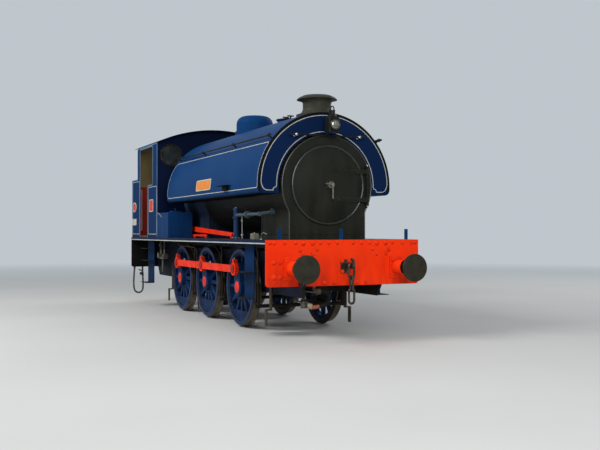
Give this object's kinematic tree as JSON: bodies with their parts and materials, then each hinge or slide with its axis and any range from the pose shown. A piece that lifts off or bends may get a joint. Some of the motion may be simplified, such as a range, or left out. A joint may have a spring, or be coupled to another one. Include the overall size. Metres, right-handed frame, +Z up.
{
  "type": "steam locomotive with a saddle tank, six coupled wheels and inside cylinders",
  "caption": "Saddle-tank shunting steam locomotive with coupled wheels, coupling rods, opening smokebox door and water filler, buffers and an open-sided cab with a coal bunker.",
  "frame": {"origin": "on the floor under the middle of the locomotive, midway between the buffer faces; Z = 0 is the tips of the wheel flanges and the rail head is 28 mm above it", "axes": "+X forward, towards the chimney end; +Y to the driver's left; +Z up"},
  "size_m": [9.246, 2.53, 3.748],
  "materials": {
    "blue_paint": "gloss coach paint",
    "wheel_blue": "gloss paint under road dirt",
    "pipe_blue": "worn gloss paint",
    "red_paint": "gloss paint",
    "smokebox_black": "heat-dulled black paint",
    "roof_black": "matt black paint",
    "black_metal": "black paint",
    "lagging_black": "dark sheet cladding",
    "buffer_steel": "dark worn steel",
    "bright_steel": "worn bright steel",
    "greased_steel": "oily steel with brake dust",
    "tyre_steel": "painted face and worn tread",
    "brass": "dull brass",
    "hose_rubber": "matt rubber",
    "lamp_black": "semi-gloss black",
    "floor_planks": "worn oiled boards",
    "window_glass": "clear glass"
  },
  "bodies": {
    "locomotive": {"ashpan": "black_metal", "axleboxes": "greased_steel", "blastpipe": "black_metal", "boiler_barrel": "lagging_black", "boiler_mountings": "brass", "brake_gear": "greased_steel", "buffer_beams": "red_paint", "buffer_heads": "buffer_steel", "buffer_stocks": "red_paint", "bunker_back": "blue_paint", "cab_fittings": "greased_steel", "cab_floor": "floor_planks", "cab_front": "blue_paint", "cab_rear": "blue_paint", "cab_roof": "roof_black", "cab_side_left": "blue_paint", "cab_side_right": "blue_paint", "chimney": "smokebox_black", "coupling_links": "buffer_steel", "cylinder_block": "black_metal", "dome": "blue_paint", "door_hinge_rod": "smokebox_black", "drawhooks": "buffer_steel", "ejector_pipe": "pipe_blue", "firebox": "lagging_black", "frame_stretchers": "blue_paint", "front_hose": "hose_rubber", "guard_irons": "greased_steel", "handrails": "black_metal", "headlamp": "lamp_black", "hose_fittings": "brass", "injectors": "brass", "lamp_irons": "blue_paint", "leaf_springs": "greased_steel", "lubricator": "bright_steel", "main_frames": "blue_paint", "reach_rod": "red_paint", "rear_hose": "hose_rubber", "running_plate": "blue_paint", "saddle_tank": "blue_paint", "sandboxes": "blue_paint", "slide_bars": "bright_steel", "smokebox": "smokebox_black", "steps": "blue_paint", "tank_filler": "blue_paint", "window_frames": "brass", "window_glass": "window_glass"},
    "leading_wheelset": {"leading_wheels": "wheel_blue", "leading_tyres": "tyre_steel"},
    "driving_wheelset": {"driving_wheels": "wheel_blue", "driving_tyres": "tyre_steel"},
    "trailing_wheelset": {"trailing_wheels": "wheel_blue", "trailing_tyres": "tyre_steel"},
    "rods_right": {"coupling_rod_front_right": "red_paint", "coupling_rod_rear_right": "red_paint"},
    "rods_left": {"coupling_rod_front_left": "red_paint", "coupling_rod_rear_left": "red_paint"},
    "front_door": {"smokebox_door": "smokebox_black", "door_dart": "bright_steel"},
    "tank_lid": {"filler_lid": "smokebox_black"}
  },
  "joints": [
    {"name": "driving_spin", "type": "hinge", "parent": "locomotive", "child": "driving_wheelset", "pos_m": [0.03, 0, 0.6755], "axis": [0, 1, 0], "continuous": true},
    {"name": "leading_spin", "type": "hinge", "parent": "locomotive", "child": "leading_wheelset", "pos_m": [1.783, 0, 0.6755], "axis": [0, 1, 0], "continuous": true},
    {"name": "trailing_spin", "type": "hinge", "parent": "locomotive", "child": "trailing_wheelset", "pos_m": [-1.57, 0, 0.6755], "axis": [0, 1, 0], "continuous": true},
    {"name": "right_rods_turn", "type": "hinge", "parent": "driving_wheelset", "child": "rods_right", "pos_m": [0.03, -0.901, 0.9805], "axis": [0, 1, 0], "continuous": true},
    {"name": "left_rods_turn", "type": "hinge", "parent": "driving_wheelset", "child": "rods_left", "pos_m": [-0.275, 0.901, 0.6755], "axis": [0, 1, 0], "continuous": true},
    {"name": "front_door_hinge", "type": "hinge", "parent": "locomotive", "child": "front_door", "pos_m": [3.527, 0.668, 2.318], "axis": [0, 0, 1], "range_deg": [0, 115]},
    {"name": "tank_lid_hinge", "type": "hinge", "parent": "locomotive", "child": "tank_lid", "pos_m": [1.716, 0, 3.499], "axis": [0, -1, 0], "range_deg": [0, 100]}
  ],
  "couplings": [
    {"joint": "leading_spin", "follows": "driving_spin", "ratio": 1},
    {"joint": "trailing_spin", "follows": "driving_spin", "ratio": 1},
    {"joint": "right_rods_turn", "follows": "driving_spin", "ratio": -1},
    {"joint": "left_rods_turn", "follows": "driving_spin", "ratio": -1}
  ]
}
